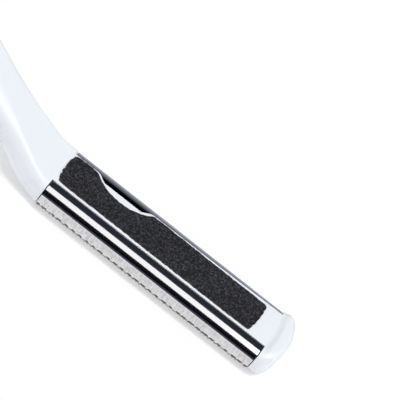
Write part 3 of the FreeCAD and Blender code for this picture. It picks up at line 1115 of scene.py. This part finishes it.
@dataclass
class AbrasiveSheet:
    """The stuck-on abrasive sheet: glue film, paper and grit, torn a little unevenly at its ends."""

    plate_top: float
    start: float = -0.5
    end: float = 93.6
    start_shape: tuple[float, float, float] = (1.4, 1.1, 2.3)
    tip_shape: tuple[float, float, float] = (0.6, 0.75, 5.0)
    near_edge: float = -9.2
    far_edge: float = 9.42
    far_lean: float = 0.5
    near_lean: float = -0.15
    notch_radius: float = 18.0
    notch_centre: float = 24.6
    film: float = 0.08
    paper: float = 0.14
    grit: float = 0.22
    scallop: float = 0.95
    scallop_pitch: float = 3.7
    scallop_depths: int = 6
    scallop_share: float = 0.75
    tip_tear: float = 0.65
    tear: float = 0.16
    fray: float = 0.2
    grain: float = 0.3
    least_grain: float = 0.35
    grain_seed: int = 11
    plan_seed: int = 3
    coat_seed: int = 7

    def torn_end(self, y: np.ndarray, seed: int) -> np.ndarray:
        """How far a cut end steps back: scallops of s(1 - |sin|) of uneven depth, and a fine random tear.

        Args:
            y: Places across the sheet.
            seed: Start of the random draw.

        Returns:
            The steps.
        """
        lobes = self.scallop * (1 - np.abs(np.sin(np.pi * y / self.scallop_pitch + seed)))
        uneven = self.scallop_share + ragged(len(y), self.scallop_depths, seed) / 2
        return lobes * uneven + self.tear * (1 + ragged(len(y), len(y) // 2, seed))

    def end_shape(self, across: np.ndarray, shape: tuple[float, float, float]) -> np.ndarray:
        """How far an end steps back for its round corners and its bow: b((y - m) / w)^2.

        Args:
            across: Places across the sheet.
            shape: Radius of the corners, size of the bow, and Y of the bow's middle.

        Returns:
            The steps.
        """
        corner, bow, middle = shape
        inset = np.maximum(corner - np.minimum(across - self.near_edge, self.far_edge - across), 0)
        rounding = corner - np.sqrt(np.maximum(corner ** 2 - inset ** 2, 0))
        return rounding + bow * ((across - middle) / self.far_edge) ** 2

    def patch(self, rows: int, columns: int, seed: int) -> np.ndarray:
        """Plan of the sheet as a grid: x between the cut ends, y between the near and the notched edge.

        Args:
            rows: Points along the sheet.
            columns: Points across it.
            seed: Start of the random draw for the edges.

        Returns:
            Places as (row, column, xy).
        """
        share = np.linspace(0.0, 1.0, columns)
        across = self.near_edge + (self.far_edge - self.near_edge) * share
        first = self.start + self.end_shape(across, self.start_shape) + self.torn_end(across, seed)
        last = self.end - self.end_shape(across, self.tip_shape)
        last -= self.torn_end(across, seed + 1) * self.tip_tear
        u = np.linspace(0.0, 1.0, rows)[:, None]
        x = first + (last - first) * u
        strip = Strip(self.start, self.end, -self.near_edge, self.far_edge, self.notch_radius,
                      self.notch_centre)
        fray = [self.fray * (1 + ragged(rows, rows // 4, seed + side)[:, None]) for side in (2, 3)]
        near = self.near_edge + self.near_lean * u + fray[0]
        far = np.minimum(strip.far_edge(x), self.far_edge - self.far_lean * u) - fray[1]
        return np.stack([x, near + (far - near) * share], -1)

    def rim(self, plan: np.ndarray) -> np.ndarray:
        """Numbers the grid's outer points, once round.

        Args:
            plan: The sheet's plan.

        Returns:
            The numbers.
        """
        rows, columns = plan.shape[:2]
        numbers = np.arange(rows * columns).reshape(rows, columns)
        return np.concatenate([numbers[0, :-1], numbers[:-1, -1], numbers[-1, :0:-1], numbers[:0:-1, 0]])

    def layer(self, plan: np.ndarray, low: float, high: float) -> Surface:
        """Flat layer of the sheet between two heights.

        Args:
            plan: The sheet's plan.
            low: Height of the underside.
            high: Height of the top.

        Returns:
            The layer.
        """
        ring = plan.reshape(-1, 2)[self.rim(plan)]
        rings = [np.concatenate([ring, np.full((len(ring), 1), z)], -1) for z in (low, high)]
        return swept(np.array(rings))

    def grit_coat(self, plan: np.ndarray, low: float, high: float) -> Surface:
        """Grit coat: random grain heights over the plan, on a flat underside.

        Args:
            plan: The coat's plan.
            low: Height of the underside.
            high: Height of the highest grains.

        Returns:
            The coat.
        """
        rows, columns = plan.shape[:2]
        share = np.random.default_rng(self.grain_seed).uniform(self.least_grain, 1.0, (rows, columns))
        height = low + (high - low) * share
        top = np.concatenate([plan, height[..., None]], -1).reshape(-1, 3)
        rim = self.rim(plan)
        foot = np.concatenate([plan.reshape(-1, 2)[rim], np.full((len(rim), 1), low)], -1)
        skirt = np.stack([np.roll(rim, -1), rim, len(top) + np.arange(len(rim)),
                          len(top) + np.roll(np.arange(len(rim)), -1)], -1)
        base = len(top) + np.arange(len(rim))[None]
        return Surface(np.concatenate([top, foot]), [grid_quads(rows, columns), skirt, base])

    def build(self) -> None:
        """Makes the three layers, each of which stands for its CAD layer."""
        rows = int((self.end - self.start) / self.grain)
        columns = int((self.far_edge - self.near_edge) / self.grain)
        plan, coat = [self.patch(rows, columns, seed) for seed in (self.plan_seed, self.coat_seed)]
        heights = self.plate_top + np.cumsum([0.0, self.film, self.paper, self.grit])
        film = self.layer(plan, heights[0], heights[1]).piece("glue_film", Body.HANDLE, Slot.GLUE, GLUE)
        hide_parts("adhesive_film")
        paper = self.layer(plan, heights[1], heights[2]).piece("sheet_paper", Body.HANDLE, Slot.PAPER, PAPER)
        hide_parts("abrasive_backing")
        grit = self.grit_coat(coat, heights[2], heights[3]).piece("grit_coat", Body.HANDLE, Slot.GRIT, GRIT,
                                                                  sharp=50.0)
        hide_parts("abrasive_grit")


@dataclass
class Studio:
    """Floor, soft light, reflection cards and the camera."""

    shell_length: float
    azimuth: float = -2.190
    elevation: float = 40.320
    roll: float = 39.522
    distance: float = 600.0
    pixels_per_mm: float = 2.62241
    target: tuple[float, float, float] = (50.0, 0.0, 6.5)
    target_pixel: tuple[float, float] = (160.741, 259.294)
    frame_pixels: float = 400.0
    sensor: float = 36.0
    clip: tuple[float, float] = (0.01, 50.0)
    floor_size: float = 6000.0
    ambient: float = 0.36
    fill_strength: float = 0.08
    fill_angle: float = 4.0
    fill_pixel: tuple[float, float] = (50.0, 130.0)
    top_strength: float = 2.06
    top_angle: float = 26.0
    top_direction: tuple[float, float, float] = (-0.2, 0.22, -1.0)
    floor_glow: float = 0.5

    @property
    def back(self) -> Vector:
        """Direction from the object to the camera."""
        azimuth, elevation = math.radians(self.azimuth), math.radians(self.elevation)
        return Vector((math.sin(azimuth) * math.cos(elevation), -math.cos(azimuth) * math.cos(elevation),
                       math.sin(elevation)))

    @property
    def focal(self) -> float:
        """Focal length in pixels."""
        return self.pixels_per_mm * self.distance

    @property
    def screen_axes(self) -> tuple[Vector, Vector]:
        """Directions to the right and up in the picture, square to the line from the target to the camera.

        Returns:
            Both directions, of length 1.
        """
        azimuth, roll = math.radians(self.azimuth), math.radians(self.roll)
        level = Vector((math.cos(azimuth), math.sin(azimuth), 0.0))
        rise = self.back.cross(level)
        cos, sin = math.cos(roll), math.sin(roll)
        return cos * level + sin * rise, cos * rise - sin * level

    def ray(self, pixel: tuple[float, float]) -> Vector:
        """Direction from the camera through a pixel of the picture.

        Args:
            pixel: Place in the picture, from its upper left corner.

        Returns:
            The direction, of length 1.
        """
        right, up = self.screen_axes
        across, down = pixel[0] - self.target_pixel[0], pixel[1] - self.target_pixel[1]
        return (right * across - up * down - self.back * self.focal).normalized()

    def camera(self) -> None:
        """Places the camera so that the target falls on its pixel, and aims it at the frame's middle."""
        depth = -self.ray((self.frame_pixels / 2, self.frame_pixels / 2))
        side = self.screen_axes[1].cross(depth).normalized()
        turn = Matrix((side, depth.cross(side), depth)).transposed().to_4x4()
        eye = (Vector(self.target) + Vector((ROOT_X, 0.0, 0.0)) + self.back * self.distance) * MM
        data = bpy.data.cameras.new("photo_camera")
        data.sensor_width = self.sensor
        data.lens = self.focal * self.sensor / self.frame_pixels
        data.clip_start, data.clip_end = self.clip
        made = bpy.data.objects.new("photo_camera", data)
        made.matrix_world = Matrix.Translation(eye) @ turn
        bpy.context.scene.collection.objects.link(made)
        bpy.context.scene.camera = made

    def seen(self, tree: Tree) -> Socket:
        """Tells the rays that show a thing, to the eye, in gloss or through glass, from those that light.

        Args:
            tree: The node tree.

        Returns:
            1 for a camera, glossy or transmission ray, and 0 for the rest.
        """
        rays = add_node(tree, "LightPath").outputs
        seen = add_node(tree, "Math", {"operation": "MAXIMUM"},
                        {0: rays["Is Camera Ray"], 1: rays["Is Glossy Ray"]})
        seen = add_node(tree, "Math", {"operation": "MAXIMUM"}, {0: seen, 1: rays["Is Transmission Ray"]})
        return seen.outputs[0]

    def world(self) -> None:
        """White surroundings for the eye, for gloss and for glass, and a dimmer sky as fill light."""
        world = bpy.data.worlds.new("white_studio")
        bpy.context.scene.world = world
        world.use_nodes = True
        tree = world.node_tree
        level = add_node(tree, "MapRange", {"To Min": self.ambient, "To Max": 1.0},
                         {"Value": self.seen(tree)})
        tree.links.new(level.outputs["Result"], tree.nodes["Background"].inputs["Strength"])
        tree.nodes["Background"].inputs["Color"].default_value = linear_rgb(WHITE)

    def stage_plane(self, name: str, middle: Vector, across: Vector, along: Vector,
                    material: bpy.types.Material) -> bpy.types.Object:
        """Adds a flat stage piece with half sizes given by two vectors, in millimetres.

        Args:
            name: The piece's name.
            middle: Its middle.
            across: From the middle to one edge.
            along: From the middle to the next edge.
            material: Its material.

        Returns:
            The new object.
        """
        corners = [middle - across - along, middle + across - along,
                   middle + across + along, middle - across + along]
        mesh = bpy.data.meshes.new(name)
        mesh.from_pydata([corner * MM for corner in corners], [], [(0, 1, 2, 3)])
        mesh.materials.append(material)
        made = bpy.data.objects.new(name, mesh)
        bpy.context.scene.collection.objects.link(made)
        return made

    def floor(self) -> None:
        """White paper floor at the tooth tips; a share of plain white keeps its shadows pale."""
        half = self.floor_size / 2
        material = Finish("white_paper_floor", WHITE, 0.9).material()
        tree = material.node_tree
        paper = tree.nodes["Principled BSDF"]
        paper.inputs["Specular IOR Level"].default_value = 0.0
        white = add_node(tree, "Emission", {"Color": linear_rgb(WHITE), "Strength": 1.0})
        share = add_node(tree, "Math", {"operation": "MULTIPLY", 1: self.floor_glow}, {0: self.seen(tree)})
        both = add_node(tree, "MixShader", links={0: share, 1: paper, 2: white})
        tree.links.new(both.outputs["Shader"], tree.nodes["Material Output"].inputs["Surface"])
        self.stage_plane("floor", Vector((0, 0, 0)), Vector((half, 0, 0)), Vector((0, half, 0)), material)

    def card(self, name: str, x: tuple[float, float], start: tuple[float, float], end: tuple[float, float],
             colour: str, strength: float = 1.0) -> None:
        """Adds a card that only reflections see, as a studio's black flag or white softbox.

        Args:
            name: The card's name.
            x: Its limits along X.
            start: Y and Z of its first edge.
            end: Y and Z of its last edge.
            colour: Its colour, as hex.
            strength: How bright it is; 1 shows the colour as written.
        """
        material = bpy.data.materials.new(name)
        material.use_nodes = True
        tree = material.node_tree
        glow = add_node(tree, "Emission", {"Color": linear_rgb(colour), "Strength": strength})
        tree.links.new(glow.outputs["Emission"], tree.nodes["Material Output"].inputs["Surface"])
        low, high = Vector((x[0], *start)), Vector((x[1], *end))
        middle, half = (low + high) / 2, (high - low) / 2
        made = self.stage_plane(name, middle, Vector((half.x, 0, 0)), Vector((0, half.y, half.z)), material)
        made.visible_camera = made.visible_diffuse = made.visible_shadow = False
        made.visible_transmission = made.visible_volume_scatter = False

    def cards(self) -> None:
        """Cards whose reflections draw the lips' bands: black in front, white above, dark behind."""
        front, box, side, back = (-300.0, 300.0), (-400.0, 150.0), (150.0, 1000.0), (-700.0, 700.0)
        under = (ROOT_X, ROOT_X + self.shell_length)
        # Painted shade: a grey sheet under the shell, seen only in reflections, stands in for the shaded
        # floor there.
        self.card("under_shade_flag", under, (-13.0, 0.05), (13.0, 0.05), "#929294")
        self.card("floor_flag", front, (-29.0, 0.3), (-54.0, 0.3), "#454A58")
        self.card("front_flag", front, (-54.0, 0.0), (-54.0, 35.5), "#0C0C0E")
        self.card("softbox", box, (-460.0, 210.0), (-120.0, 504.0), WHITE, 1.17)
        self.card("side_softbox", side, (-460.0, 210.0), (-120.0, 504.0), WHITE, 2.4)
        self.card("back_flag", back, (-120.0, 504.0), (400.0, 342.0), "#2B2F37")
        self.card("back_sheen", back, (400.0, 342.0), (560.0, 310.0), "#70757F")
        self.card("far_high", back, (560.0, 310.0), (560.0, 184.0), "#8A9099")
        self.card("far_low", back, (560.0, 184.0), (560.0, 0.0), "#A0A6B2")
        self.card("far_floor", back, (560.0, 0.3), (30.0, 0.3), "#B0B4BC")

    def light(self, name: str, strength: float, angle: float, direction: Vector) -> None:
        """Adds a wide sun that shines along a direction and isn't itself seen in the gloss.

        Args:
            name: The light's name.
            strength: Its strength in watts per square metre.
            angle: How wide the sun is, in degrees.
            direction: Where it shines to.
        """
        data = bpy.data.lights.new(name, "SUN")
        data.energy = strength
        data.angle = math.radians(angle)
        made = bpy.data.objects.new(name, data)
        made.rotation_mode = "QUATERNION"
        made.rotation_quaternion = direction.to_track_quat("-Z", "Y")
        made.visible_glossy = False
        bpy.context.scene.collection.objects.link(made)

    def lights(self) -> None:
        """A wide top light, a little from the tip and the camera's side, and a weak fill light.

        The fill shines along the camera's ray to the neck, so the high handle hides its own shadow.
        """
        self.light("top_light", self.top_strength, self.top_angle, Vector(self.top_direction))
        self.light("fill_light", self.fill_strength, self.fill_angle, self.ray(self.fill_pixel))

    def build(self) -> None:
        """Sets up the view, the surroundings and the camera."""
        bpy.context.scene.view_settings.view_transform = "Standard"
        self.world()
        self.floor()
        self.cards()
        self.lights()
        self.camera()


def main() -> None:
    """Builds the shell, the handle and the abrasive sheet, then the studio."""
    logging.basicConfig(level=logging.INFO, format="%(message)s")
    shell = RaspShell()
    shell.build()
    handle = Handle(shell)
    handle.build()
    AbrasiveSheet(handle.plate_top).build()
    Studio(shell.length).build()


if __name__ == "__main__":
    main()
